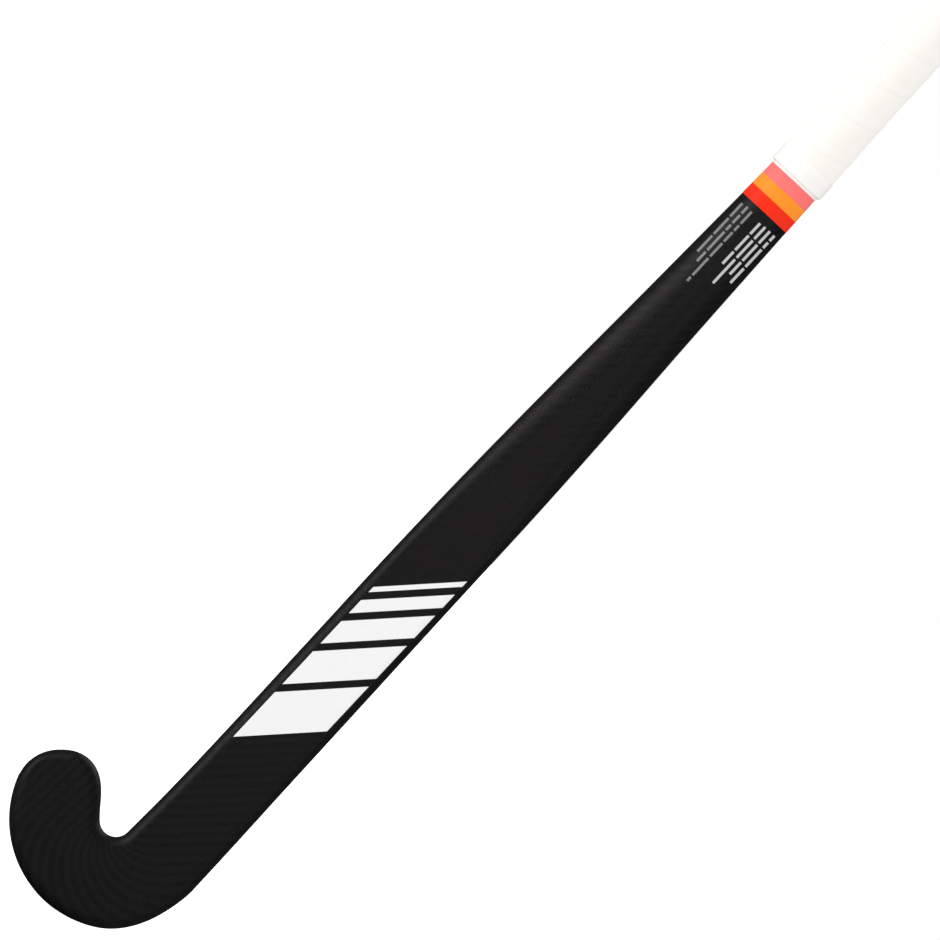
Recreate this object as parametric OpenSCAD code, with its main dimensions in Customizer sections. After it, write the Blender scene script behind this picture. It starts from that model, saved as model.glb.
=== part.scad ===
// Field hockey stick, right-handed, composite.
// Frame: +Z runs up the handle, the flat playing face looks along -Y and the toe points along -X.
// The origin is at floor level, at the middle of the base of the bounding box.
// All sizes are in millimetres.

/* [Overall] */
// Length from the bottom of the head to the end of the butt cap
stick_len = 927; // [890:1:960]
// Wall of the moulded carbon shell
shell_wall = 2.2; // [1.8:0.1:2.8]

/* [Head] */
// Radius of the head's outer curve
head_r = 61.3; // [58:0.1:64]
// Radius of the hook inside the curve
hook_r = 9; // [8:0.1:11]
// Radius of the rounded toe
toe_r = 24.3; // [22:0.1:25]
// Half width of the toe on its inner side, towards the hook
toe_in_r = 23.5; // [22:0.1:25]
// Length of the rounded toe, from its widest section to its tip
toe_len = 23.2; // [21:0.1:25]
// Direction of the toe from the middle of the head's outer curve, in degrees
toe_dir = -162; // [-166:1:-158]
// How much the heel is cut back from the outer curve
heel_cut = 4.5; // [4:0.1:5.5]
// Depth of the back of the head behind its parting line
head_back = 12; // [10:0.5:14]

/* [Shaft] */
// Depth of the flat face in front of the parting line
face_depth = 8; // [7:0.5:9]
// Radius of the edge between the flat face and the sides
edge_r = 7; // [6:0.5:9]
// Depth of the rounded back of the shaft behind the parting line
shaft_back = 14; // [13:0.5:15]
// Lean of the flat head against the handle's axis, in degrees
head_lean = 7.6; // [5:0.1:8]
// Height where the flat head ends and the bow begins
bow_start = 80; // [76:1:90]
// Height where the bow ends and the shaft runs straight
bow_end = 420; // [380:5:440]

/* [Handle] */
// Radius of the bare handle where the grip starts
handle_r = 15.8; // [15:0.1:16.5]
// Radius of the bare handle along its upper, straight length
handle_top_r = 13.7; // [13:0.1:15]
// Height where the handle has become round
round_z = 577; // [560:1:600]
// Height above which the handle is a plain cylinder
straight_z = 660; // [640:5:760]
// Thickness of the cushion tape under the grip
underlay_t = 0.6; // [0.4:0.1:1]
// Thickness of the grip wrap
grip_t = 1.3; // [1:0.1:2]
// Height of the rim of the butt cap
cap_h = 6; // [4:0.5:8]
// Radius of the disc set into the cap
disc_r = 10.8; // [8:0.1:12]
// Thickness of the disc set into the cap
disc_t = 1; // [0.6:0.1:2]

/* [Inside] */
// Wall of each inner carbon tube
tube_wall = 0.8; // [0.6:0.1:1.2]
// Height of the top of the foam core of the head
core_top = 112; // [100:1:125]
// Wall of the aramid layer around the core
aramid_wall = 1; // [0.8:0.1:1.4]
// Height of the lower end of the vibration damper
damper_z = 670; // [665:5:700]
// Length of the vibration damper
damper_len = 50; // [30:5:90]
// Length of the foam that closes the tubes at the butt
plug_len = 55; // [30:5:80]

/* [Trim] */
// Height of each of the three colour bands
band_h = 8; // [6:0.5:9]
// Thickness of the bands and printed marks
film_t = 0.15; // [0.1:0.05:0.25]
// Height of the lowest corner of the white slashes
slash_z = 138; // [130:1:170]
// Width of the finishing tape at the lower end of the grip
tape_h = 13; // [10:0.5:18]
// Thickness of the finishing tape
tape_t = 0.2; // [0.1:0.05:0.3]

/* [Hidden] */

// Where the handle's axis stands, so that the origin is under the middle of the bounding box
axis_x = 32.33;
axis_y = 11.27;

// Gap left between bonded layers, so that their facets never cross
glue = 0.12;
// Gap left under a film, where the shell's facets bridge the curve of the face
film_gap = 0.08;

// Points from edge to edge across a section, for the outside and for inner parts
across = 14;
across_in = 9;
// Turn of the head, from the level shaft section to the toe's first section, in degrees
head_turn = 135;

// Power of the curve across the back, where 2 would be an ellipse
back_power = 2.4;
// Power of the curve of the toe's inner corner
toe_power = 2.35;

// Centres of the head's curves, from the handle's axis
hook_c = [-32.2, 59.6];
head_c = [-31.3, head_r];
toe_c = head_c + (head_r - toe_r) * dir(toe_dir);
// The toe's sections run along this direction, and lie across the other
toe_along = dir(head_turn);
toe_across = dir(head_turn - 90);

// Shaft outline: [height, half width on the toe side, half width on the heel side]
SHAFT = [
    [hook_c[1], -hook_c[0] - hook_r, 25.5],
    [90, 22.2, 25.3],
    [135, 21.9, 24.7],
    [210, 22.5, 23.9],
    [280, 23, 23.1],
    [340, 22.4, 22.6],
    [400, 21, 21.2],
    [470, 18.8, 18.8],
    [530, 17.1, 17.1],
    [round_z, handle_r, handle_r],
    [straight_z, handle_top_r, handle_top_r],
    [stick_len, handle_top_r, handle_top_r]
];

shell_top = stick_len - cap_h;
grip_z = round_z + 2;
tube_foot = core_top + 8;
tube_top = shell_top - 26;
sock_in = shell_wall + glue;
core_in = sock_in + aramid_wall + glue;
tube_in = shell_wall + glue;
fill_in = tube_in + tube_wall + glue;

// Heights of the sections of the shell, from the butt down to the hook
TAPER_Z = [for (z = [straight_z : -14 : round_z + 7]) z];
BODY_Z = concat([shell_top, 790], TAPER_Z, [round_z], [for (z = [563 : -16 : 83]) z], [76, 68]);
TUBE_Z = concat([tube_top], TAPER_Z, [for (z = [round_z : -24 : 145]) z], [tube_foot]);
SOCK_Z = [core_top + 4, 102, 90, 80, 70];
CORE_Z = [core_top, 102, 90, 80, 70];

// ---- Curves and small helpers ----

function dir(a) = [cos(a), sin(a)];
function ramp(t) = t <= 0 ? 0 : t >= 1 ? 1 : t * t * (3 - 2 * t);
function mix(a, b, t) = a + (b - a) * t;
// Sum of the first n numbers of L
function sum(L, n, i = 0) = i >= n ? 0 : L[i] + sum(L, n, i + 1);
function slope(T, i, c) =
    let (a = max(i - 1, 0), b = min(i + 1, len(T) - 1)) (T[b][c] - T[a][c]) / (T[b][0] - T[a][0]);

// Smooth value of column c of table T at height z
function at(T, z, c, i = 0) =
    i < len(T) - 2 && z > T[i + 1][0] ? at(T, z, c, i + 1) :
    let (h = T[i + 1][0] - T[i][0], t = min(max((z - T[i][0]) / h, 0), 1), s = ramp(t))
    mix(T[i][c], T[i + 1][c], s)
        + h * t * (1 - t) * ((1 - t) * slope(T, i, c) - t * slope(T, i + 1, c));

// Radius of the bare round handle at height z
function bare_r(z) = at(SHAFT, z, 1);
// How far the shaft has turned from a flat-faced blade (0) to a round handle (1)
function roundness(z) = ramp((z - 300) / (round_z - 300));
// How far the face has crowned at height z, from flat (0) to a full arch (1)
function crown(z) = ramp((z - 280) / 190);
// Y of the parting line at height z. Its slope eases from that of the head to none, in one smooth bow.
function bow(z) =
    let (run = bow_end - bow_start, t = min(max((z - bow_start) / run, 0), 1), below = max(bow_start - z, 0))
    -tan(head_lean) * (run * (0.5 - t + pow(t, 3) - pow(t, 4) / 2) + below);
// Depth of the back at height z
function back(z) = mix(head_back, shaft_back, ramp((z - 60) / 90));

// ---- Sections ----
// A section is [toe-side end, heel-side end, face depth, edge radius, back depth, back power].

function shaft_section(z, inset) =
    let (toe = at(SHAFT, z, 1) - inset, heel = at(SHAFT, z, 2) - inset,
        w = (toe + heel) / 2, k = roundness(z))
    [[-toe, z], [heel, z], mix(face_depth - inset, w, k), mix(edge_r - inset / 2, w, crown(z)),
        mix(back(z) - inset, w, k), mix(back_power, 2, k)];

// Distance from the hook's centre to the head's outer edge, in direction a
function reach(a, inset) =
    let (e = head_c - hook_c, d = dir(a), side = e[0] * d[1] - e[1] * d[0])
    e * d + sqrt(pow(head_r - inset, 2) - side * side) - heel_cut * (1 - ramp((-a - 8) / 50));

function head_section(a, inset) =
    [hook_c + (hook_r + inset) * dir(a), hook_c + reach(a, inset) * dir(a),
        face_depth - inset, edge_r - inset / 2, head_back - inset, back_power];

// Half width of the toe at q past its widest section, as a curve of power m that ends at tip
function tip_half(q, r, tip, m) = q <= 0 ? sqrt(r * r - q * q) : r * pow(max(1 - pow(q / tip, m), 0), 1 / m);
// How steeply that half width falls
function tip_fall(q, r, tip, m) = r / tip * pow(q / tip, m - 1) * pow(1 - pow(q / tip, m), 1 / m - 1);

// The toe's section at distance q along it. Its outer end follows the head's curve and then the
// toe's own, and its inner end leaves the hook in an easy curve that runs into the toe's inner corner.
function toe_section(q, inset) =
    let (h = head_c - hook_c, c = toe_c - hook_c,
        r = toe_r - inset, r_in = toe_in_r - inset, tip = toe_len - inset, outer = head_r - inset,
        qh = h * toe_along, nh = h * toe_across, qc = c * toe_along, nc = c * toe_across,
        touch = qh + outer * dir(toe_dir) * toe_along,
        past = 5, join = qc + past, t = q / join,
        near = q < join
            ? mix(-hook_r - inset, nc + tip_half(past, r_in, tip, toe_power), ramp(t))
                + join * t * t * (1 - t) * tip_fall(past, r_in, tip, toe_power)
            : nc + tip_half(q - qc, r_in, tip, toe_power),
        far = q < touch ? nh - sqrt(outer * outer - pow(q - qh, 2)) : nc - tip_half(q - qc, r, tip, 2),
        left = qc + tip - q, edge = edge_r - inset / 2,
        kf = left < edge ? sqrt(1 - pow(1 - left / edge, 2)) : 1,
        kb = left < tip ? pow(1 - pow(1 - left / tip, back_power), 1 / back_power) : 1)
    [hook_c + q * toe_along + near * toe_across, hook_c + q * toe_along + far * toe_across,
        (face_depth - inset) * kf, edge, (head_back - inset) * kb, back_power];

// Sections from the hook round to the toe's tip
function head_run(inset, steps) =
    let (qc = (toe_c - hook_c) * toe_along, tip = toe_len - inset)
    concat(
        [for (i = [0 : steps]) head_section(-head_turn * i / steps, inset)],
        [for (q = [4 : 4.5 : qc]) toe_section(q, inset)],
        [for (a = [8, 22, 36, 49, 61, 71, 79, 85]) toe_section(qc + tip * sin(a), inset)]
    );

// Depths of the face and of the back at s from the middle of a section w half wide
function face_at(s, w, f, r) = let (u = (abs(s) - (w - r)) / r) f * (u <= 0 ? 1 : sqrt(max(1 - u * u, 0)));
function back_at(s, w, b, m) = b * pow(max(1 - pow(min(abs(s) / w, 1), m), 0), 1 / m);

// The points of a section: along the face from end to end, and back behind it.
// part 0 is the whole section, -1 its toe half and 1 its heel half, cut at the gap from the middle.
function ring(sec, n, part = 0, gap = 0) =
    let (mid = (sec[0] + sec[1]) / 2, d = (sec[1] - sec[0]) / norm(sec[1] - sec[0]),
        w = norm(sec[1] - sec[0]) / 2, cut = acos(gap / w),
        a0 = part == 1 ? 180 - cut : 0, a1 = part == -1 ? cut : 180,
        S = [for (i = [0 : n]) -w * cos(mix(a0, a1, i / n))],
        first = part == 1 ? 0 : 1, last = part == -1 ? n : n - 1)
    concat(
        [for (s = S) let (p = mid + s * d) [p[0], bow(p[1]) - face_at(s, w, sec[2], sec[3]), p[1]]],
        [for (i = [last : -1 : first]) let (s = S[i], p = mid + s * d)
            [p[0], bow(p[1]) + back_at(s, w, sec[4], sec[5]), p[1]]]
    );

function rings(secs, n, part = 0, gap = 0) = [for (s = secs) ring(s, n, part, gap)];
function shaft_run(Z, inset) = [for (z = Z) shaft_section(z, inset)];

// ---- Solids made of rings ----

function flat_list(L) = [for (a = L) each a];
// Triangles between rows of n points each, starting at point first
function sides(rows, n, first = 0, inward = false) = [
    for (j = [0 : rows - 2], i = [0 : n - 1])
        let (a = first + j * n + i, b = first + j * n + (i + 1) % n, c = a + n, d = b + n)
        each (inward ? [[a, c, b], [b, c, d]] : [[a, b, c], [b, d, c]])
];
function cap_face(n, first, flip = false) = [[for (i = [0 : n - 1]) first + (flip ? i : n - 1 - i)]];

// A solid skinned over rings of points
module loft(R) {
    n = len(R[0]);
    polyhedron(flat_list(R), concat(sides(len(R), n), cap_face(n, 0), cap_face(n, (len(R) - 1) * n, true)));
}

// A hollow solid, open at its first ring, with a closed or an open far end
module shell(OUT, IN, closed = true) {
    n = len(OUT[0]);
    a = len(OUT) * n;
    last_out = a - n;
    last_in = a + (len(IN) - 1) * n;
    mouth = [for (i = [0 : n - 1]) let (j = (i + 1) % n) each [[i, a + i, j], [j, a + i, a + j]]];
    ends = closed
        ? concat(cap_face(n, last_out, true), cap_face(n, last_in))
        : [for (i = [0 : n - 1]) let (j = (i + 1) % n)
            each [[last_out + i, last_out + j, last_in + i], [last_out + j, last_in + j, last_in + i]]];
    polyhedron(concat(flat_list(OUT), flat_list(IN)),
        concat(sides(len(OUT), n), sides(len(IN), n, a, true), mouth, ends));
}

// A thin plate with corners G[row][column] on the stick's skin, film_t thick
module film(G) {
    m = len(G[0]);
    k = len(G) * m;
    lift = [0, -film_t, 0];
    P = flat_list(G);
    rim = concat([for (i = [0 : m - 1]) i], [for (j = [1 : len(G) - 1]) j * m + m - 1],
        [for (i = [m - 2 : -1 : 0]) k - m + i], [for (j = [len(G) - 2 : -1 : 1]) j * m]);
    polyhedron(concat(P, [for (p = P) p + lift]), concat(
        [for (j = [0 : len(G) - 2], i = [0 : m - 2]) let (a = j * m + i)
            each [[a, a + m, a + 1], [a + 1, a + m, a + m + 1]]],
        [for (j = [0 : len(G) - 2], i = [0 : m - 2]) let (a = k + j * m + i)
            each [[a, a + 1, a + m], [a + 1, a + m + 1, a + m]]],
        [for (i = [0 : len(rim) - 1]) let (p = rim[i], q = rim[(i + 1) % len(rim)])
            each [[p, q, p + k], [q, q + k, p + k]]]));
}

// A point on the playing face of the shaft, film_gap in front of it
function on_face(x, z) =
    let (s = shaft_section(z, 0), mid = (s[0][0] + s[1][0]) / 2, w = (s[1][0] - s[0][0]) / 2)
    [x, bow(z) - face_at(x - mid, w, s[2], s[3]) - film_gap, z];

module placed() translate([axis_x, axis_y, 0]) children();

// ---- Sub-parts ----

// Outer carbon laminate of head, shaft and handle, moulded in one
module carbon_shell() color("#1b1a1b") placed() shell(
    rings(concat(shaft_run(BODY_Z, 0), head_run(0, 15)), across),
    rings(concat(shaft_run(BODY_Z, shell_wall), head_run(shell_wall, 15)), across));

// Tough aramid layer that lines the head
module aramid_head_sock() color("#c9a23a") placed() shell(
    rings(concat(shaft_run(SOCK_Z, sock_in), head_run(sock_in, 10)), across_in),
    rings(concat(shaft_run(SOCK_Z, sock_in + aramid_wall), head_run(sock_in + aramid_wall, 10)), across_in));

// Rigid foam that fills the head
module head_foam_core() color("#e8dcb8") placed() loft(
    rings(concat(shaft_run(CORE_Z, core_in), head_run(core_in, 10)), across_in));

// One of the two inner tubes, which meet along the middle of the shaft; side is -1 for the toe side
module inner_tube(side) shell(
    rings(shaft_run(TUBE_Z, tube_in), across_in, side, glue / 2),
    rings(shaft_run(TUBE_Z, tube_in + tube_wall), across_in, side, glue / 2 + tube_wall), false);

// Solids that fill both inner tubes between two heights
module tube_fill(z0, z1) for (side = [-1, 1])
    loft(rings(shaft_run([z1, (z0 + z1) / 2, z0], fill_in), across_in, side, glue + tube_wall + glue / 2));

module toe_side_tube() color("#2c2c30") placed() inner_tube(-1);
module heel_side_tube() color("#2c2c30") placed() inner_tube(1);
module vibration_damper() color("#5f6c78") placed() tube_fill(damper_z, damper_z + damper_len);
module butt_foam_plugs() color("#e8dcb8") placed() tube_fill(tube_top - plug_len, tube_top);

// Moulded cap: a rim a little narrower than the grip, and a spigot glued into the shell
module butt_cap() color("#f2efe8") placed() translate([0, 0, shell_top]) rotate_extrude($fn = 96) {
    rim_step = 0.2;
    rim = handle_top_r + underlay_t + grip_t - rim_step;
    spigot_gap = 0.25;
    spigot = handle_top_r - shell_wall - spigot_gap;
    spigot_len = 22;
    lead = 1;
    corner = 2;
    well = disc_r + 0.2;
    polygon(concat(
        [[0, -spigot_len], [spigot - lead, -spigot_len], [spigot, 2 * lead - spigot_len]],
        [[spigot, 0], [rim, 0]],
        [for (a = [0 : 15 : 90]) [rim, cap_h] + corner * [cos(a) - 1, sin(a) - 1]],
        [[well, cap_h], [well, cap_h - disc_t], [0, cap_h - disc_t]]));
}

// Disc set into the end of the cap, a little below its rim
module butt_disc() color("#1b1a1b") placed() {
    sunk = 0.1;
    translate([0, 0, stick_len - disc_t]) cylinder(h = disc_t - sunk, r = disc_r, $fn = 96);
}

// A round sleeve over the handle between two heights, from gap a to gap b above the bare handle
module sleeve(z0, z1, a, b) {
    step = 10;
    Z = concat([z0], [for (z = [step * ceil((z0 + 1) / step) : step : straight_z - 1]) z], [straight_z, z1]);
    rotate_extrude($fn = 96) polygon(concat(
        [for (z = Z) [bare_r(z) + a, z]],
        [for (i = [len(Z) - 1 : -1 : 0]) [bare_r(Z[i]) + b, Z[i]]]));
}

module grip_underlay() color("#d9d6cf") placed() sleeve(grip_z + 1, shell_top, film_gap, underlay_t);
module grip_wrap() color("#f7f2ea") placed() sleeve(grip_z, shell_top, underlay_t, underlay_t + grip_t);

// Tape that starts on the bare handle and climbs over the lower edge of the grip
module finishing_tape() color("#ffffff") placed() {
    gap = 0.05;
    over = underlay_t + grip_t + gap;
    below = 2.2;
    foot = grip_z - below;
    flat = 1;
    clear = 0.15;
    Z = [[foot, film_gap], [foot + flat, film_gap + gap], [grip_z - clear, over], [foot + tape_h, over]];
    rotate_extrude($fn = 96) polygon(concat(
        [for (p = Z) [bare_r(p[0]) + p[1], p[0]]],
        [for (i = [3 : -1 : 0]) [bare_r(Z[i][0]) + Z[i][1] + tape_t, Z[i][0]]]));
}

// One coloured band, the k-th down from the finishing tape
module band(k) {
    below_tape = 0.5;
    between = 0.05;
    top = round_z - below_tape - k * band_h;
    Z = [top, top - band_h / 2, top - band_h + between];
    shell(rings(shaft_run(Z, -film_gap - film_t), across), rings(shaft_run(Z, -film_gap), across), false);
}

module band_pink() color("#ff7077") placed() band(0);
module band_orange() color("#ff9a22") placed() band(1);
module band_red() color("#fb3324") placed() band(2);

// A slanted bar across the face, h high, whose lowest corner is at height z on the toe side.
// Its columns stand closer together where the face rounds off.
module slash(z, h) {
    rise = 1.05;
    half = 18;
    film([for (a = [-90 : 15 : 90]) let (x = 1.5 + half * sin(a), up = rise * half * (1 + sin(a)))
        [for (t = [0, h / 2, h]) on_face(x, z + up + t)]]);
}

module face_slashes() color("white") placed() {
    HEIGHTS = [34, 25, 17, 10, 4];
    gap = 6;
    for (i = [0 : len(HEIGHTS) - 1]) slash(slash_z + sum(HEIGHTS, i) + gap * i, HEIGHTS[i]);
}

// A row of short plain bars running down the shaft from height z, at x, w wide.
// A middle column of points lets each bar follow the curve of the face.
module bars(x, w, z, LENGTHS, gap = 1.3) {
    for (i = [0 : len(LENGTHS) - 1]) {
        z1 = z - gap * i - sum(LENGTHS, i);
        film([for (s = [-w / 2, 0, w / 2]) [for (t = [z1 - LENGTHS[i], z1]) on_face(x + s, t)]]);
    }
}

module print_bars_fine() color("#7c7d7f") placed() {
    bars(-12.4, 1.4, 548, [10, 12, 12]);
    bars(-8.9, 1.4, 548.5, [5, 6, 4, 14, 7]);
    bars(-5.4, 1.4, 548, [9, 4, 7, 10, 13, 3]);
}

module print_bars_bold() color("#bcbfc1") placed() {
    bars(2.4, 1.5, 546.5, [8, 11, 9]);
    bars(5.9, 1.5, 547, [9, 13, 18]);
    bars(9.4, 1.5, 547, [9, 12, 9]);
    bars(12.9, 1.5, 547, [4, 4, 13, 11]);
}

carbon_shell();
aramid_head_sock();
head_foam_core();
toe_side_tube();
heel_side_tube();
vibration_damper();
butt_foam_plugs();
butt_cap();
butt_disc();
grip_underlay();
grip_wrap();
finishing_tape();
band_red();
band_orange();
band_pink();
face_slashes();
print_bars_fine();
print_bars_bold();
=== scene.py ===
"""Looks of a right-handed composite field hockey stick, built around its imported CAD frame.

Lengths are in millimetres in the stick's own axes: the handle's axis is x = y = 0, z = 0 is the lowest
point of the head, the toe points along -x and the playing face looks along -y. placed() turns such
points into metres in the shared frame.
"""

import math

import bmesh
import bpy
import numpy as np
from mathutils import Matrix, Vector


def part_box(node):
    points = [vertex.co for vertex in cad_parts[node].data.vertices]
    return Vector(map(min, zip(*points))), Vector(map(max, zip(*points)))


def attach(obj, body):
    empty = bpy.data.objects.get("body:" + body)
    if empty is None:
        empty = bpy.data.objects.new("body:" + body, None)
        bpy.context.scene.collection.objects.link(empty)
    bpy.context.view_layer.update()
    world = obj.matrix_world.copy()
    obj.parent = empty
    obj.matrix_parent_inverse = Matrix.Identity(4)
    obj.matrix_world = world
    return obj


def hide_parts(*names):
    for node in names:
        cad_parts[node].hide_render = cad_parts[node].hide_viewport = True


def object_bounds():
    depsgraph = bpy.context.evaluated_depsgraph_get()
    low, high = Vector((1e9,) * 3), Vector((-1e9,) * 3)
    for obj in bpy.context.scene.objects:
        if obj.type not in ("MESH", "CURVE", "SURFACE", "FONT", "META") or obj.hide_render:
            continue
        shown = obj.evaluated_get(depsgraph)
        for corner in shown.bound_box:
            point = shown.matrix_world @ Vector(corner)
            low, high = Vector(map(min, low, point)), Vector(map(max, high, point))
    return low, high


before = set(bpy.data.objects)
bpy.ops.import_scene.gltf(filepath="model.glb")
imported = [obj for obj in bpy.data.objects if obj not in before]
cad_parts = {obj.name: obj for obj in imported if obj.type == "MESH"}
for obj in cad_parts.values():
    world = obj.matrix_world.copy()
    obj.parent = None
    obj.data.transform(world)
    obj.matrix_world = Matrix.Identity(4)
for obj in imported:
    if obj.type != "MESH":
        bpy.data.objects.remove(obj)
cad_low, cad_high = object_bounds()
MM = 0.001


def box_mm(node):
    """Lowest and highest corner of a CAD node, in millimetres in the shared frame."""
    low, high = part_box(node)
    return Vector(low) / MM, Vector(high) / MM


grip_low, grip_high = box_mm("grip_wrap")
AXIS = (grip_low + grip_high) / 2
GRIP_FOOT, SHELL_TOP = grip_low.z, grip_high.z
STICK_TOP = cad_high[2] / MM
BAND_TOP = box_mm("band_pink")[1].z
TAPE_FOOT, TAPE_TOP = box_mm("finishing_tape")[0].z, box_mm("finishing_tape")[1].z


# ---- The stick's shape ----

SHELL_WALL = 2.2
FACE_DEPTH = 8
EDGE_R = 7
BACK_POWER = 2.4
HEAD_LEAN = 7.6
BOW_START, BOW_END = 80, 420

# The back gets deeper from the head to the shaft
HEAD_BACK, SHAFT_BACK = 12, 14
DEEPEN_START, DEEPEN_RUN = 60, 90

# Head: angles are in degrees, and the heel's arc is cut back by HEEL_CUT, easing off round the head
HEAD_R, HOOK_R = 61.3, 9
HEAD_TURN = 135
HEEL_CUT = 4.5
CUT_EASE_START, CUT_EASE_RUN = 8, 50
TOE_R, TOE_IN_R, TOE_LEN, TOE_POWER = 24.3, 23.5, 23.2, 2.35
TOE_DIR = -162
TOE_JOIN = 5

# Handle: the section turns from D-shaped to round between ROUND_START and ROUND_Z, and its flat face
# crowns between CROWN_START and CROWN_END
HANDLE_R, HANDLE_TOP_R = 15.8, 13.7
ROUND_START, ROUND_Z, STRAIGHT_Z = 300, 577, 660
CROWN_START, CROWN_END = 280, 470
UNDERLAY_T, GRIP_T = 0.6, 1.3

# Points along the face of a section, and round a level circle
SECTION_STEPS, CIRCLE_STEPS = 48, 128


def direction(degrees):
    return np.array([math.cos(math.radians(degrees)), math.sin(math.radians(degrees))])


HOOK_C = np.array([-32.2, 59.6])
HEAD_C = np.array([-31.3, HEAD_R])
TOE_C = HEAD_C + (HEAD_R - TOE_R) * direction(TOE_DIR)
TOE_ALONG = direction(HEAD_TURN)
TOE_ACROSS = direction(HEAD_TURN - 90)

# Shaft outline: height, half width on the toe side, half width on the heel side
SHAFT = [
    (HOOK_C[1], -HOOK_C[0] - HOOK_R, 25.5),
    (90, 22.2, 25.3),
    (135, 21.9, 24.7),
    (210, 22.5, 23.9),
    (280, 23, 23.1),
    (340, 22.4, 22.6),
    (400, 21, 21.2),
    (470, 18.8, 18.8),
    (530, 17.1, 17.1),
    (ROUND_Z, HANDLE_R, HANDLE_R),
    (STRAIGHT_Z, HANDLE_TOP_R, HANDLE_TOP_R),
    (STICK_TOP, HANDLE_TOP_R, HANDLE_TOP_R),
]


def ramp(t):
    t = np.clip(t, 0, 1)
    return t * t * (3 - 2 * t)


def mix(a, b, t):
    return a + (b - a) * t


def slope(i, column):
    """Slope of the shaft outline at row i."""
    before, after = SHAFT[max(i - 1, 0)], SHAFT[min(i + 1, len(SHAFT) - 1)]
    return (after[column] - before[column]) / (after[0] - before[0])


def half_width(z, column):
    """Smooth half width of the shaft at height z: column 1 is the toe side and 2 the heel side."""
    i = 0
    while i < len(SHAFT) - 2 and z > SHAFT[i + 1][0]:
        i += 1
    h = SHAFT[i + 1][0] - SHAFT[i][0]
    t = min(max((z - SHAFT[i][0]) / h, 0), 1)
    ease = t * (1 - t) * ((1 - t) * slope(i, column) - t * slope(i + 1, column))
    return mix(SHAFT[i][column], SHAFT[i + 1][column], ramp(t)) + h * ease


def bow(z):
    """Y of the parting line at height z, which leans in the head and eases to none up the shaft."""
    run = BOW_END - BOW_START
    t = np.clip((z - BOW_START) / run, 0, 1)
    below = np.maximum(BOW_START - z, 0)
    return -math.tan(math.radians(HEAD_LEAN)) * (run * (0.5 - t + t**3 - t**4 / 2) + below)


def shaft_section(z, inset):
    """A level section: toe-side end, heel-side end, face depth, edge radius, back depth, back power."""
    toe, heel = half_width(z, 1) - inset, half_width(z, 2) - inset
    w = (toe + heel) / 2
    roundness = ramp((z - ROUND_START) / (ROUND_Z - ROUND_START))
    crown = ramp((z - CROWN_START) / (CROWN_END - CROWN_START))
    back = mix(HEAD_BACK, SHAFT_BACK, ramp((z - DEEPEN_START) / DEEPEN_RUN)) - inset
    return (
        np.array([-toe, z]),
        np.array([heel, z]),
        mix(FACE_DEPTH - inset, w, roundness),
        mix(EDGE_R - inset / 2, w, crown),
        mix(back, w, roundness),
        mix(BACK_POWER, 2, roundness),
    )


def head_section(angle, inset):
    """A section that fans out from the hook's centre, at an angle in degrees."""
    centre, out = HEAD_C - HOOK_C, direction(angle)
    side = centre[0] * out[1] - centre[1] * out[0]
    cut = HEEL_CUT * (1 - ramp((-angle - CUT_EASE_START) / CUT_EASE_RUN))
    reach = centre @ out + math.sqrt((HEAD_R - inset) ** 2 - side**2) - cut
    ends = HOOK_C + (HOOK_R + inset) * out, HOOK_C + reach * out
    return (*ends, FACE_DEPTH - inset, EDGE_R - inset / 2, HEAD_BACK - inset, BACK_POWER)


def tip_half(q, r, length, power):
    """Half width of the toe at distance q past its widest section."""
    if q <= 0:
        return math.sqrt(r * r - q * q)
    return r * max(1 - (q / length) ** power, 0) ** (1 / power)


def toe_section(q, inset):
    """A section across the toe, at distance q along it."""
    h, c = HEAD_C - HOOK_C, TOE_C - HOOK_C
    r, r_in, length, outer = TOE_R - inset, TOE_IN_R - inset, TOE_LEN - inset, HEAD_R - inset
    qh, nh, qc, nc = h @ TOE_ALONG, h @ TOE_ACROSS, c @ TOE_ALONG, c @ TOE_ACROSS
    touch = qh + outer * direction(TOE_DIR) @ TOE_ALONG
    join, x = qc + TOE_JOIN, TOE_JOIN / length
    t = q / join
    if q < join:
        fall = r_in / length * x ** (TOE_POWER - 1) * (1 - x**TOE_POWER) ** (1 / TOE_POWER - 1)
        near = mix(-HOOK_R - inset, nc + tip_half(TOE_JOIN, r_in, length, TOE_POWER), ramp(t))
        near += join * t * t * (1 - t) * fall
    else:
        near = nc + tip_half(q - qc, r_in, length, TOE_POWER)
    far = nh - math.sqrt(outer**2 - (q - qh) ** 2) if q < touch else nc - tip_half(q - qc, r, length, 2)
    left, edge = qc + length - q, EDGE_R - inset / 2
    face_part = math.sqrt(1 - (1 - left / edge) ** 2) if left < edge else 1
    back_part = (1 - (1 - left / length) ** BACK_POWER) ** (1 / BACK_POWER) if left < length else 1
    start = HOOK_C + q * TOE_ALONG
    return (
        start + near * TOE_ACROSS,
        start + far * TOE_ACROSS,
        (FACE_DEPTH - inset) * face_part,
        edge,
        (HEAD_BACK - inset) * back_part,
        BACK_POWER,
    )


def head_run(inset, fan_steps, toe_step, tip_steps):
    """Sections from the hook round to the toe's tip."""
    qc, length = (TOE_C - HOOK_C) @ TOE_ALONG, TOE_LEN - inset
    fan = [head_section(-HEAD_TURN * i / fan_steps, inset) for i in range(1, fan_steps + 1)]
    level = [toe_section(q, inset) for q in np.arange(toe_step, qc, toe_step)]
    turn = [math.radians(88.5 * i / tip_steps) for i in range(1, tip_steps + 1)]
    return fan + level + [toe_section(qc + length * math.sin(a), inset) for a in turn]


def face_depth_at(s, w, depth, edge):
    """Depth of the face at distance s from the middle of a section w half wide."""
    u = np.clip((np.abs(s) - (w - edge)) / edge, 0, 1)
    return depth * np.sqrt(1 - u * u)


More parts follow.
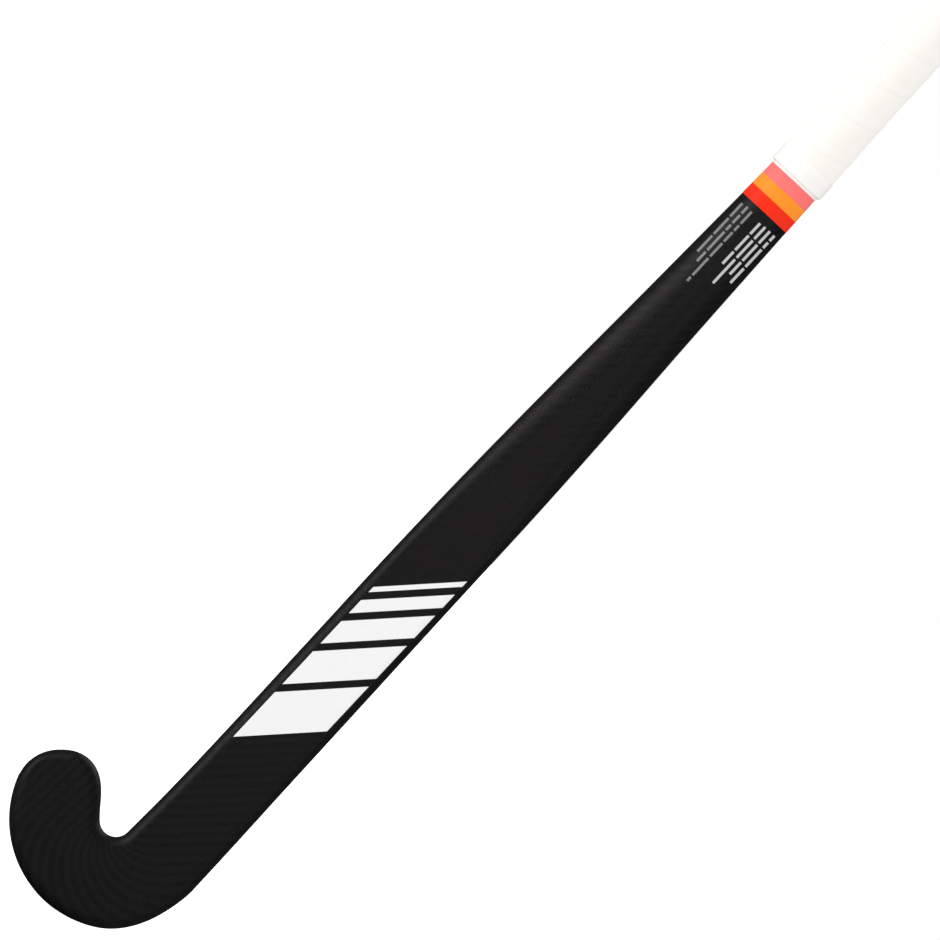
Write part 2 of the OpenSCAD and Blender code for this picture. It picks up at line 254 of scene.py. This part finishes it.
def ring(section):
    """Points of a section: along the face from the toe side to the heel side, and back behind it."""
    steps = SECTION_STEPS
    a, b, face, edge, back, power = section
    w = np.linalg.norm(b - a) / 2
    s = -w * np.cos(np.pi * np.arange(steps + 1) / steps)
    flat = (a + b) / 2 + np.outer(s, (b - a) / (2 * w))
    y_face = bow(flat[:, 1]) - face_depth_at(s, w, face, edge)
    y_back = bow(flat[:, 1]) + back * np.maximum(1 - np.abs(s / w) ** power, 0) ** (1 / power)
    front = np.column_stack([flat[:, 0], y_face, flat[:, 1]])
    rear = np.column_stack([flat[:, 0], y_back, flat[:, 1]])[steps - 1 : 0 : -1]
    return np.vstack([front, rear])


def bare_r(z):
    """Radius of the bare round handle."""
    return half_width(z, 1)


def circle(radius, z):
    """A level ring round the handle's axis."""
    a = 2 * np.pi * np.arange(CIRCLE_STEPS) / CIRCLE_STEPS
    return np.column_stack([radius * np.cos(a), radius * np.sin(a), np.full(CIRCLE_STEPS, float(z))])


# ---- Making pieces ----


def placed(points):
    """Points in the stick's own millimetres as metres in the shared frame."""
    return (np.asarray(points) + [AXIS.x, AXIS.y, 0]) * MM


def skin(name, rings, loop=False):
    """A closed mesh over rings of points. Its two ends are filled, or joined to each other if loop."""
    rows, n = len(rings), len(rings[0])
    last = rows if loop else rows - 1
    faces = [
        (i * n + j, i * n + (j + 1) % n, (i + 1) % rows * n + (j + 1) % n, (i + 1) % rows * n + j)
        for i in range(last)
        for j in range(n)
    ]
    if not loop:
        faces += [tuple(range(n)), tuple(range((rows - 1) * n, rows * n))]
    mesh = bpy.data.meshes.new(name)
    mesh.from_pydata(placed(np.vstack(rings)).tolist(), [], faces)
    return as_piece(name, mesh)


def as_piece(name, mesh, sharp_degrees=50):
    """An object for a mesh, with its normals turned outwards and its sharp edges kept sharp."""
    bm = bmesh.new()
    bm.from_mesh(mesh)
    bmesh.ops.remove_doubles(bm, verts=bm.verts, dist=1e-7)
    bmesh.ops.dissolve_degenerate(bm, dist=1e-7, edges=bm.edges)
    bmesh.ops.recalc_face_normals(bm, faces=bm.faces)
    bm.to_mesh(mesh)
    bm.free()
    mesh.shade_smooth()
    mesh.set_sharp_from_angle(angle=math.radians(sharp_degrees))
    piece = bpy.data.objects.new(name, mesh)
    bpy.context.scene.collection.objects.link(piece)
    return piece


def dress(piece, material, slot, *nodes):
    """Gives a piece its material and its body, and hides the CAD nodes it stands for. Its slot is not used.
    """
    piece.data.materials.append(material)
    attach(piece, "root")
    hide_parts(*nodes)


def dress_node(node, material):
    """Gives a CAD node that stays as it is a better material."""
    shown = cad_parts[node]
    shown.data.materials.clear()
    shown.data.materials.append(material)


# ---- Materials ----


class Surface:
    """A material with one Principled shader, and short ways to add nodes to it."""

    def __init__(self, name, color, roughness, **plain):
        self.material = bpy.data.materials.new(name)
        self.material.use_nodes = True
        self.tree = self.material.node_tree
        self.shader = self.tree.nodes["Principled BSDF"]
        self.set(self.shader, "Base Color", (*color, 1))
        self.set(self.shader, "Roughness", roughness)
        for label, value in plain.items():
            self.set(self.shader, label.replace("_", " "), value)

    def set(self, node, socket, value):
        """Gives an input a plain value, or links it to an output."""
        if isinstance(value, bpy.types.NodeSocket):
            self.tree.links.new(value, node.inputs[socket])
        else:
            node.inputs[socket].default_value = value

    def node(self, kind, inputs, output=0, **settings):
        """The output of a new node."""
        made = self.tree.nodes.new(kind)
        for name, value in settings.items():
            setattr(made, name, value)
        for socket, value in inputs.items():
            self.set(made, socket, value)
        return made.outputs[output]

    def math(self, operation, a, b=0.0, c=0.0):
        return self.node("ShaderNodeMath", {0: a, 1: b, 2: c}, operation=operation)

    def place(self, scale=(1, 1, 1)):
        """The point on the object in millimetres, stretched by scale."""
        where = self.node("ShaderNodeTexCoord", {}, output="Object")
        by = tuple(s / MM for s in scale)
        return self.node("ShaderNodeVectorMath", {0: where, 1: by}, operation="MULTIPLY")

    def noise(self, size, detail=2.0, roughness=0.5, stretch=(1, 1, 1)):
        """Noise with features about size millimetres across."""
        inputs = {"Vector": self.place(stretch), "Scale": 1 / size, "Detail": detail, "Roughness": roughness}
        return self.node("ShaderNodeTexNoise", inputs, output="Fac")

    def range(self, value, low, high, from_low=0.0, from_high=1.0):
        """value, stretched from its own range to low..high."""
        inputs = {"Value": value, "From Min": from_low, "From Max": from_high, "To Min": low, "To Max": high}
        return self.node("ShaderNodeMapRange", inputs)

    def blend(self, amount, a, b):
        """A colour between a and b."""
        made = self.tree.nodes.new("ShaderNodeMix")
        made.data_type = "RGBA"
        self.set(made, 0, amount)
        self.set(made, 6, (*a, 1) if isinstance(a, tuple) else a)
        self.set(made, 7, (*b, 1) if isinstance(b, tuple) else b)
        return made.outputs[2]

    def bump(self, height, depth, strength=1.0):
        """Adds relief, depth millimetres deep, on top of any there is."""
        before = self.shader.inputs["Normal"]
        under = before.links[0].from_socket if before.links else None
        inputs = {"Height": height, "Distance": depth * MM, "Strength": strength}
        if under:
            inputs["Normal"] = under
        self.set(self.shader, "Normal", self.node("ShaderNodeBump", inputs))


def twill(surface, tow):
    """A 2 by 2 twill, its tows along and across the stick: which way the top tow runs, and its height."""
    uv = surface.node("ShaderNodeUVMap", {}, uv_map="weave")
    parts = surface.tree.nodes.new("ShaderNodeSeparateXYZ")
    surface.set(parts, 0, uv)
    across, along = parts.outputs[0], parts.outputs[1]
    p = surface.math("DIVIDE", across, tow * MM)
    q = surface.math("DIVIDE", along, tow * MM)
    cell = surface.math("SUBTRACT", surface.math("FLOOR", p), surface.math("FLOOR", q))
    over = surface.math("LESS_THAN", surface.math("FRACT", surface.math("MULTIPLY", cell, 0.25)), 0.5)

    def crown(lateral):
        side = surface.math("SUBTRACT", surface.math("FRACT", lateral), 0.5)
        return surface.math("SUBTRACT", 1.0, surface.math("MULTIPLY", surface.math("POWER", side, 2.0), 4.0))

    return over, mixed(surface, over, crown(q), crown(p))


def mixed(surface, amount, a, b):
    """A number between a and b."""
    made = surface.tree.nodes.new("ShaderNodeMix")
    surface.set(made, 0, amount)
    surface.set(made, 2, a)
    surface.set(made, 3, b)
    return made.outputs[0]


def carbon():
    """Matt black carbon laminate: a faint twill, its tows a little lighter or darker as painted sheen, under
    a thin clear coat, with small changes in gloss.
    """
    s = Surface("carbon", (0.006, 0.0056, 0.0058), 0.5, Specular_IOR_Level=0.5)
    over, height = twill(s, 1.9)
    # Painted sheen: the colour step between tows running along and across stands in for the light they
    # reflect differently; the twill's relief and gloss below are real
    s.set(s.shader, "Base Color", s.blend(over, (0.0040, 0.0035, 0.0037), (0.0058, 0.0052, 0.0054)))
    gloss = s.range(s.noise(14, detail=4), -0.03, 0.03)
    s.set(s.shader, "Roughness", s.math("ADD", gloss, s.range(over, 0.465, 0.535)))
    s.bump(height, 0.03)
    s.bump(s.noise(0.9, detail=3), 0.006)
    return s.material


def lacquer(name, color):
    """Coloured lacquer of a band."""
    s = Surface(name, color, 0.38, Specular_IOR_Level=0.15)
    darker = tuple(c * 0.93 for c in color)
    s.set(s.shader, "Base Color", s.blend(s.noise(3, detail=3), darker, color))
    s.set(s.shader, "Roughness", s.range(s.noise(6, detail=3), 0.34, 0.42))
    s.bump(s.noise(0.8, detail=2), 0.006)
    return s.material


def ink(name, color):
    """Screen-printed ink, a little uneven, with fine relief."""
    s = Surface(name, color, 0.45)
    thin = tuple(c * 0.94 for c in color)
    s.set(s.shader, "Base Color", s.blend(s.noise(1.6, detail=4), thin, color))
    s.set(s.shader, "Roughness", s.range(s.noise(4, detail=3), 0.40, 0.50))
    s.bump(s.noise(0.7, detail=2), 0.006)
    return s.material


def grip_pu():
    """Off-white polyurethane grip: fine grain, tiny pores and a soft, uneven tone."""
    s = Surface("grip_pu", (0.86, 0.83, 0.79), 0.62, Specular_IOR_Level=0.3)
    tone = s.blend(s.noise(9, detail=4), (0.84, 0.805, 0.76), (0.88, 0.85, 0.81))
    s.set(s.shader, "Base Color", tone)
    s.set(s.shader, "Roughness", s.range(s.noise(2.5, detail=3), 0.55, 0.70))
    s.bump(s.noise(0.35, detail=3, roughness=0.6), 0.03)
    pores = s.node("ShaderNodeTexVoronoi", {"Vector": s.place(), "Scale": 1 / 1.5}, output="Distance")
    s.bump(s.range(pores, 0.0, 1.0, 0.06, 0.22), 0.04)
    return s.material


def tape_white():
    """White self-adhesive tape with fine stretch lines."""
    s = Surface("tape_white", (0.88, 0.86, 0.83), 0.4, Specular_IOR_Level=0.4)
    s.set(s.shader, "Roughness", s.range(s.noise(3, detail=3), 0.30, 0.42))
    s.bump(s.noise(1.2, detail=3, stretch=(0.3, 0.3, 2.5)), 0.03)
    return s.material


def rubber(name, color, grain=0.5):
    """Moulded rubber or silicone."""
    s = Surface(name, color, 0.6)
    darker = tuple(c * 0.9 for c in color)
    s.set(s.shader, "Base Color", s.blend(s.noise(5, detail=3), darker, color))
    s.set(s.shader, "Roughness", s.range(s.noise(2, detail=2), 0.52, 0.66))
    s.bump(s.noise(grain, detail=3), 0.02)
    return s.material


def foam(name, color):
    """Rigid or soft foam with open cells."""
    s = Surface(name, color, 0.9)
    cells = s.node("ShaderNodeTexVoronoi", {"Vector": s.place(), "Scale": 1 / 0.8}, output="Distance")
    s.set(s.shader, "Base Color", s.blend(cells, tuple(c * 0.7 for c in color), color))
    s.bump(cells, 0.2)
    return s.material


def cloth_layer(name, color, pitch):
    """Woven layer set in resin, seen as fine crossing threads."""
    s = Surface(name, color, 0.5)
    wave = {"Vector": s.place(), "Scale": 1 / pitch, "Distortion": 0.5}
    up = s.node("ShaderNodeTexWave", wave, output="Fac", bands_direction="Z")
    over = s.node("ShaderNodeTexWave", wave, output="Fac", bands_direction="X")
    threads = s.math("MAXIMUM", up, over)
    s.set(s.shader, "Base Color", s.blend(threads, tuple(c * 0.5 for c in color), color))
    s.bump(threads, 0.05)
    return s.material


# ---- Pieces ----


def make_shell():
    """Outer laminate of head, shaft and handle, hollow, with the twill's map of where its tows run."""

    def run(inset, z_step, fan_steps, toe_step, tip_steps):
        heights = np.linspace(SHELL_TOP, HOOK_C[1], round((SHELL_TOP - HOOK_C[1]) / z_step))
        return [shaft_section(z, inset) for z in heights] + head_run(inset, fan_steps, toe_step, tip_steps)

    outer = [ring(section) for section in run(0, z_step=4, fan_steps=60, toe_step=1.2, tip_steps=24)]
    inner = [ring(section) for section in run(SHELL_WALL, z_step=12, fan_steps=20, toe_step=4, tip_steps=8)]
    rings = outer[::-1] + inner
    piece = skin("carbon_body", rings)
    map_weave(piece.data, rings)
    return piece


def map_weave(mesh, rings):
    """Lays a map in metres over a skinned mesh: round the section from the face's middle, and along it."""
    rings = np.array(rings)
    n = rings.shape[1]
    closed = np.concatenate([rings, rings[:, :1]], axis=1)
    lengths = np.linalg.norm(np.diff(closed, axis=1), axis=2)
    around = np.concatenate([np.zeros((len(rings), 1)), np.cumsum(lengths, axis=1)], axis=1)
    face_middle = SECTION_STEPS // 2
    around -= around[:, face_middle : face_middle + 1]
    middle = rings[:, face_middle]
    along = np.concatenate([[0], np.cumsum(np.linalg.norm(np.diff(middle, axis=0), axis=1))])
    layer = mesh.uv_layers.new(name="weave")
    for face in mesh.polygons:
        columns = [v % n for v in face.vertices]
        wraps = max(columns) - min(columns) > 1
        for loop, v in zip(face.loop_indices, face.vertices):
            column = n if wraps and v % n == 0 else v % n
            layer.data[loop].uv = (around[v // n, column] * MM, along[v // n] * MM)


def make_band(name, top, height):
    """A lacquered band, with slightly rounded edges, just proud of the shell."""
    proud, foot, rounding, lip = 0.14, -0.05, 0.12, 0.5
    lips = [(foot, 0.0), (proud * 0.7, 0.0), (proud, rounding)]
    levels = lips + [(proud, t) for t in np.linspace(lip, height - lip, 5)]
    levels += [(out, height - t) for out, t in reversed(lips)]
    rings = [ring(shaft_section(top - t, -out)) for out, t in levels]
    return skin(name, rings, loop=True)


# The wound strip: its rise a turn and its relief in millimetres, with LAP_END, LAP_EASE and EDGE_SHARE
# as shares of its width. The relief fades out under the finishing tape over FADE_RUN.
GRIP_PITCH = 25.0
LAP_HEIGHT, LAP_END, LAP_EASE = 0.32, 0.10, 0.16
THIN_EDGE, EDGE_SHARE = 0.35, 0.05
STRIP_CROWN = 0.12
SWAY, SWAY_EASE = 0.06, 10
FADE_RUN = 14


def strip_height(p, z):
    """Relief of the wound strip: p runs from 0 to 1 across it, and its lap rides over the turn below."""
    p = np.where(p > 0, p, 1.0)
    lap = LAP_HEIGHT * (1 - ramp((p - LAP_END) / LAP_EASE))
    edge = 1 - THIN_EDGE * (1 - ramp(p / EDGE_SHARE))
    crown = STRIP_CROWN * np.sin(np.pi * p)
    fade = ramp((z - TAPE_TOP + 1) / FADE_RUN)
    return (lap * edge + crown) * fade


def lay_on_underlay(geometry):
    """Moves the points among some mesh elements in or out to the inside of the grip."""
    axis = Vector((AXIS.x, AXIS.y, 0)) * MM
    for v in [g for g in geometry if isinstance(g, bmesh.types.BMVert)]:
        out = Vector((v.co.x - axis.x, v.co.y - axis.y, 0)).normalized()
        v.co = axis + out * (bare_r(v.co.z / MM) + UNDERLAY_T) * MM + Vector((0, 0, v.co.z))


def in_order(bm):
    """Sorts a mesh by place, because extruding and bridging leave new elements in a chance order."""
    by_place = Vector((0.37, 0.61, 1.0))
    bm.verts.sort(key=lambda v: v.co.dot(by_place))
    bm.edges.sort(key=lambda e: (e.verts[0].co + e.verts[1].co).dot(by_place))
    bm.faces.sort(key=lambda f: f.calc_center_median().dot(by_place))


def make_grip():
    """The wound grip: rows of points follow the helix, so that the edge of the strip stays crisp."""
    segments = CIRCLE_STEPS
    shares = [0.0, 0.008, 0.02, 0.035, 0.05, 0.08, 0.11, 0.15, 0.19, 0.23, 0.27]
    shares += [0.34, 0.42, 0.5, 0.58, 0.66, 0.74, 0.82, 0.9, 0.96, 0.996]
    angle = 2 * np.pi * np.arange(segments) / segments
    turns = range(-2, math.ceil((SHELL_TOP - GRIP_FOOT) / GRIP_PITCH) + 2)
    rows = [(k, p) for k in turns for p in shares]
    points = []
    for k, p in rows:
        wound = GRIP_FOOT + GRIP_PITCH * (k + p + angle / (2 * np.pi))
        z = np.clip(wound, GRIP_FOOT, SHELL_TOP)
        share = np.where(z == wound, p, ((z - GRIP_FOOT) / GRIP_PITCH - angle / (2 * np.pi)) % 1)
        skin_r = np.array([bare_r(v) for v in z]) + UNDERLAY_T + GRIP_T - STRIP_CROWN
        sway = SWAY * np.sin(3 * angle + 0.11 * z) * np.sin(0.083 * z) * ramp((z - TAPE_TOP) / SWAY_EASE)
        r = skin_r + strip_height(share, z) + sway
        points.append(np.column_stack([r * np.cos(angle), r * np.sin(angle), z]))
    points = np.vstack(points)
    per_turn = len(shares)

    def index(row, column):
        return (row + per_turn * (column // segments)) * segments + column % segments

    faces = [
        (index(i, j), index(i, j + 1), index(i + 1, j + 1), index(i + 1, j))
        for i in range(len(rows) - per_turn - 1)
        for j in range(segments)
    ]
    mesh = bpy.data.meshes.new("grip_strip")
    mesh.from_pydata(placed(points).tolist(), [], faces)
    bm = bmesh.new()
    bm.from_mesh(mesh)
    bmesh.ops.remove_doubles(bm, verts=bm.verts, dist=2e-6)
    bmesh.ops.dissolve_degenerate(bm, dist=1e-6, edges=bm.edges)
    loose = [v for v in bm.verts if not v.link_faces]
    bmesh.ops.delete(bm, geom=loose, context="VERTS")

    # Close the strip with an inner wall, cut into short lengths so that it can follow the underlay
    open_edges = [e for e in bm.edges if e.is_boundary]
    made = bmesh.ops.extrude_edge_only(bm, edges=open_edges)
    lay_on_underlay(made["geom"])
    made = bmesh.ops.bridge_loops(bm, edges=[e for e in bm.edges if e.is_boundary])
    lengthwise = [e for e in made["edges"] if e.calc_length() > 0.2]
    made = bmesh.ops.subdivide_edges(bm, edges=lengthwise, cuts=40, use_grid_fill=True)
    lay_on_underlay(made["geom_inner"])
    in_order(bm)
    bm.to_mesh(mesh)
    bm.free()
    return as_piece("grip_strip", mesh, sharp_degrees=25)


def make_tape():
    """Two turns of tape: the upper turn's edge shows as a fine step, and the foot lies on the handle."""
    clear = 0.05
    over = UNDERLAY_T + GRIP_T + clear
    foot = BAND_TOP + clear
    profile = [(0.02, foot), (0.18, foot), (0.24, TAPE_FOOT + 0.9)]
    profile += [(over + 0.06, GRIP_FOOT - 0.2), (over + 0.12, GRIP_FOOT + 0.6)]
    profile += [(over + 0.12, TAPE_TOP - 5.2), (over + 0.20, TAPE_TOP - 5.0)]
    profile += [(over + 0.20, TAPE_TOP - 0.1), (over + 0.16, TAPE_TOP), (over - 0.3, TAPE_TOP)]
    profile += [(over - 0.3, GRIP_FOOT + 1), (0.02, TAPE_FOOT + 0.8)]
    return skin("finishing_tape_turns", [circle(bare_r(z) + out, z) for out, z in profile], loop=True)


# Butt cap: the part inside the handle, the rim's rounding, the well for the disc, and small bevels.
# CENTRE_R is where a turned piece closes at its axis.
SPIGOT_LEN, RIM_R, WELL_R, WELL_DEPTH, BEVEL = 22, 2, 11.0, 1, 0.3
CENTRE_R = 0.01


def make_cap():
    """Moulded butt cap with a rounded rim, two fine grooves and a shallow well for the disc."""
    rim = HANDLE_TOP_R + UNDERLAY_T + GRIP_T - 0.2
    spigot = HANDLE_TOP_R - SHELL_WALL - 0.25
    top, foot = STICK_TOP, SHELL_TOP - SPIGOT_LEN
    profile = [(CENTRE_R, foot), (spigot - 1, foot), (spigot, foot + 2)]
    profile += [(spigot, SHELL_TOP), (rim - BEVEL, SHELL_TOP), (rim, SHELL_TOP + BEVEL)]
    for groove in (1.6, 3.0):
        profile += [(rim, SHELL_TOP + groove - 0.35), (rim - BEVEL, SHELL_TOP + groove)]
        profile += [(rim, SHELL_TOP + groove + 0.35)]
    turn = np.linspace(0, np.pi / 2, 12)
    profile += [(rim - RIM_R + RIM_R * math.cos(a), top - RIM_R + RIM_R * math.sin(a)) for a in turn]
    profile += [(WELL_R + BEVEL, top), (WELL_R, top - BEVEL), (WELL_R, top - WELL_DEPTH)]
    profile += [(CENTRE_R, top - WELL_DEPTH)]
    return skin("butt_cap_moulding", [circle(r, z) for r, z in profile])


def make_disc():
    """Disc in the butt cap, slightly domed, with one raised ring."""
    floor = STICK_TOP - WELL_DEPTH
    ring_in, crown, fall = 7.2, 0.88, 0.1
    outline = [(CENTRE_R, 0), (10.7, 0), (10.8, 0.15), (10.8, 0.55), (10.5, 0.75)]
    outline += [(8.4, 0.78), (8.1, 0.95), (7.5, 0.95), (ring_in, 0.78)]
    profile = [(r, floor + h) for r, h in outline]
    profile += [(r, floor + crown - fall * (r / ring_in) ** 2) for r in (6, 4, 2, CENTRE_R)]
    return skin("butt_disc_cover", [circle(r, z) for r, z in profile])


def face_y(x, z):
    """Y of the playing face at x and z."""
    toe, heel, depth, edge = shaft_section(z, 0)[:4]
    half = (heel[0] - toe[0]) / 2
    return bow(z) - face_depth_at(x - toe[0] - half, half, depth, edge)


def face_point(x, z, proud):
    """A point that stands proud of the playing face at x and z, measured square to it."""
    step = 0.1
    side = (face_y(x + step, z) - face_y(x - step, z)) / (2 * step)
    rise = (face_y(x, z + step) - face_y(x, z - step)) / (2 * step)
    out = np.array([side, -1, rise]) / math.hypot(side, 1, rise)
    return np.array([x, face_y(x, z), z]) + out * proud


def make_print(name, patches):
    """Thin plates of ink on the face. Each patch is a grid of (x, z) points, row by row."""
    points, faces = [], []
    film = 0.05
    for patch in patches:
        rows, columns = len(patch), len(patch[0])
        start, count = len(points), rows * columns
        for proud in (film, -film):
            points += [face_point(x, z, proud) for row in patch for x, z in row]
        for i in range(rows - 1):
            for j in range(columns - 1):
                corner = start + i * columns + j
                quad = (corner, corner + 1, corner + columns + 1, corner + columns)
                faces += [quad, tuple(v + count for v in quad[::-1])]
        rim = list(range(columns)) + [i * columns + columns - 1 for i in range(1, rows)]
        rim += [(rows - 1) * columns + j for j in range(columns - 2, -1, -1)]
        rim += [i * columns for i in range(rows - 2, 0, -1)]
        rim = [start + v for v in rim]
        faces += [(a, a + count, b + count, b) for a, b in zip(rim, rim[1:] + rim[:1])]
    mesh = bpy.data.meshes.new(name)
    mesh.from_pydata(placed(points).tolist(), [], faces)
    return as_piece(name, mesh)


def slash_patches():
    """Slanted bars across the face, each thinner than the one below it."""
    low, middle, half, rise, gap = 138, 1.5, 18, 1.05, 6
    across = [math.radians(a) for a in range(-90, 91, 6)]
    patches = []
    for height in (34, 25, 17, 10, 4):
        columns = [(middle + half * math.sin(a), low + rise * half * (1 + math.sin(a))) for a in across]
        steps = max(2, round(height / 2))
        patches.append([[(x, z + height * i / steps) for x, z in columns] for i in range(steps + 1)])
        low += height + gap
    return patches


def bar_patches(x, width, top, lengths, gap=1.3):
    """A row of short bars running down the shaft from height top."""
    patches = []
    for length in lengths:
        steps = max(2, round(length / 2))
        heights = [top - length * i / steps for i in range(steps + 1)]
        sides = [x + width * share for share in (-0.5, -0.25, 0, 0.25, 0.5)]
        patches.append([[(side, z) for side in sides] for z in heights])
        top -= length + gap
    return patches


fine_bars = bar_patches(-12.4, 1.4, 548, [10, 12, 12])
fine_bars += bar_patches(-8.9, 1.4, 548.5, [5, 6, 4, 14, 7])
fine_bars += bar_patches(-5.4, 1.4, 548, [9, 4, 7, 10, 13, 3])
bold_bars = bar_patches(2.4, 1.5, 546.5, [8, 11, 9])
bold_bars += bar_patches(5.9, 1.5, 547, [9, 13, 18])
bold_bars += bar_patches(9.4, 1.5, 547, [9, 12, 9])
bold_bars += bar_patches(12.9, 1.5, 547, [4, 4, 13, 11])

dress(make_shell(), carbon(), "carbon_body", "carbon_shell")
dress(make_grip(), grip_pu(), "grip_pu", "grip_wrap")
dress(make_tape(), tape_white(), "tape_white", "finishing_tape")
dress(make_cap(), rubber("cap_rubber", (0.80, 0.77, 0.71)), "cap_rubber", "butt_cap")
dress(make_disc(), rubber("disc_black", (0.012, 0.011, 0.012), grain=0.3), "disc_black", "butt_disc")

BAND_H = 8
bands = {"pink": (0.93, 0.172, 0.168), "orange": (0.92, 0.280, 0.017), "red": (0.85, 0.022, 0.002)}
for k, (name, color) in enumerate(bands.items()):
    piece = make_band(f"band_{name}_lacquer", BAND_TOP - k * BAND_H, BAND_H)
    dress(piece, lacquer(name, color), f"band_{name}", f"band_{name}")

prints = [
    ("white_slashes", slash_patches(), (0.80, 0.81, 0.81), "print_white", "face_slashes"),
    ("fine_bars", fine_bars, (0.20, 0.205, 0.21), "print_grey", "print_bars_fine"),
    ("bold_bars", bold_bars, (0.50, 0.515, 0.53), "print_silver", "print_bars_bold"),
]
for name, patches, color, slot, node in prints:
    dress(make_print(name, patches), ink(f"{name}_ink", color), slot, node)

dress_node("aramid_head_sock", cloth_layer("aramid", (0.58, 0.40, 0.10), 0.5))
dress_node("head_foam_core", foam("rigid_foam", (0.80, 0.72, 0.52)))
dress_node("butt_foam_plugs", foam("plug_foam", (0.80, 0.72, 0.52)))
dress_node("toe_side_tube", cloth_layer("tube_carbon_toe", (0.03, 0.03, 0.034), 0.6))
dress_node("heel_side_tube", cloth_layer("tube_carbon_heel", (0.03, 0.03, 0.034), 0.6))
dress_node("vibration_damper", rubber("damper_silicone", (0.12, 0.16, 0.20)))
dress_node("grip_underlay", cloth_layer("underlay", (0.68, 0.66, 0.62), 0.8))


# ---- Camera, lights and floor ----


def make_camera():
    """Looks square at the playing face, with the handle leaning to the upper right of the picture."""
    lean = math.radians(43.1)
    width, away = 522.8, 20000
    aim = Vector((-21.7, -FACE_DEPTH, 336.2))
    data = bpy.data.cameras.new("camera")
    data.lens = data.sensor_width * away / width
    camera = bpy.data.objects.new("camera", data)
    right = Vector((math.cos(lean), 0, math.sin(lean)))
    up = Vector((-math.sin(lean), 0, math.cos(lean)))
    turn = Matrix((right, up, right.cross(up))).transposed()
    spot = (aim + Vector((AXIS.x, AXIS.y - away, 0))) * MM
    camera.matrix_world = Matrix.Translation(spot) @ turn.to_4x4()
    bpy.context.scene.collection.objects.link(camera)
    bpy.context.scene.camera = camera


def make_light(name, spot, size, power, color, spread=180):
    """A soft rectangular light that faces the shaft, in metres and watts. spread is its fan in degrees."""
    target = Vector((0, 0, 0.45))
    data = bpy.data.lights.new(name, "AREA")
    data.color = color
    data.shape = "RECTANGLE"
    data.size, data.size_y = size
    data.energy = power
    data.spread = math.radians(spread)
    light = bpy.data.objects.new(name, data)
    light.location = spot
    light.rotation_euler = (target - Vector(spot)).to_track_quat("-Z", "Y").to_euler()
    light.visible_camera = False
    bpy.context.scene.collection.objects.link(light)


def by_ray(tree, camera, glossy, other, out_kind):
    """Shows one shader to the camera, one to glossy rays and one to all other rays."""
    path = tree.nodes.new("ShaderNodeLightPath")
    unseen = tree.nodes.new("ShaderNodeMixShader")
    tree.links.new(path.outputs["Is Glossy Ray"], unseen.inputs[0])
    tree.links.new(other.outputs[0], unseen.inputs[1])
    tree.links.new(glossy.outputs[0], unseen.inputs[2])
    both = tree.nodes.new("ShaderNodeMixShader")
    tree.links.new(path.outputs["Is Camera Ray"], both.inputs[0])
    tree.links.new(unseen.outputs[0], both.inputs[1])
    tree.links.new(camera.outputs[0], both.inputs[2])
    tree.links.new(both.outputs[0], tree.nodes.new(out_kind).inputs[0])


def make_floor():
    """A plain pale floor that reads as white."""
    mesh = bpy.data.meshes.new("floor")
    reach, gloss_grey, glow_strength = 200, 0.06, 0.6
    corners = [(-reach, -reach, 0), (reach, -reach, 0), (reach, reach, 0), (-reach, reach, 0)]
    mesh.from_pydata(corners, [], [(0, 1, 2, 3)])
    floor = bpy.data.objects.new("floor", mesh)
    bpy.context.scene.collection.objects.link(floor)
    material = bpy.data.materials.new("floor")
    material.use_nodes = True
    tree = material.node_tree
    tree.nodes.clear()
    pale = tree.nodes.new("ShaderNodeBsdfDiffuse")
    pale.inputs["Color"].default_value = (0.8, 0.8, 0.8, 1)
    dim = tree.nodes.new("ShaderNodeBsdfDiffuse")
    dim.inputs["Color"].default_value = (gloss_grey, gloss_grey, gloss_grey, 1)
    glow = tree.nodes.new("ShaderNodeEmission")
    glow.inputs["Strength"].default_value = glow_strength
    white = tree.nodes.new("ShaderNodeAddShader")
    tree.links.new(pale.outputs[0], white.inputs[0])
    tree.links.new(glow.outputs[0], white.inputs[1])
    by_ray(tree, white, dim, pale, "ShaderNodeOutputMaterial")
    mesh.materials.append(material)


def make_world():
    """White behind the object, a little brighter as light on it, and dim where a gloss would show it."""
    world = bpy.data.worlds.new("studio")
    world.use_nodes = True
    tree = world.node_tree
    tree.nodes.clear()
    seen, in_gloss, as_light = 1.0, 0.05, 1.12
    shaders = []
    for strength in (seen, in_gloss, as_light):
        shader = tree.nodes.new("ShaderNodeBackground")
        shader.inputs["Color"].default_value = (1, 1, 1, 1)
        shader.inputs["Strength"].default_value = strength
        shaders.append(shader)
    by_ray(tree, *shaders, "ShaderNodeOutputWorld")
    bpy.context.scene.world = world


make_camera()
make_light("key", (-2.2, -0.9, 0.9), (1.4, 2.0), 16.5, (1, 0.95, 0.92))
make_light("front", (0.2, -3.0, 0.40), (0.5, 0.5), 0.055, (1, 0.80, 0.80), spread=22)
make_light("side", (-1.7, -2.1, 0.8), (0.6, 0.6), 0.030, (1, 0.95, 0.92), spread=20)
make_light("fill", (1.9, -1.9, 0.8), (0.8, 0.8), 0.08, (1, 1, 1), spread=20)
make_light("rear", (0.6, 1.6, 2.6), (2.0, 1.6), 10, (1, 1, 1))
make_floor()
make_world()
bpy.context.scene.view_settings.view_transform = "Standard"
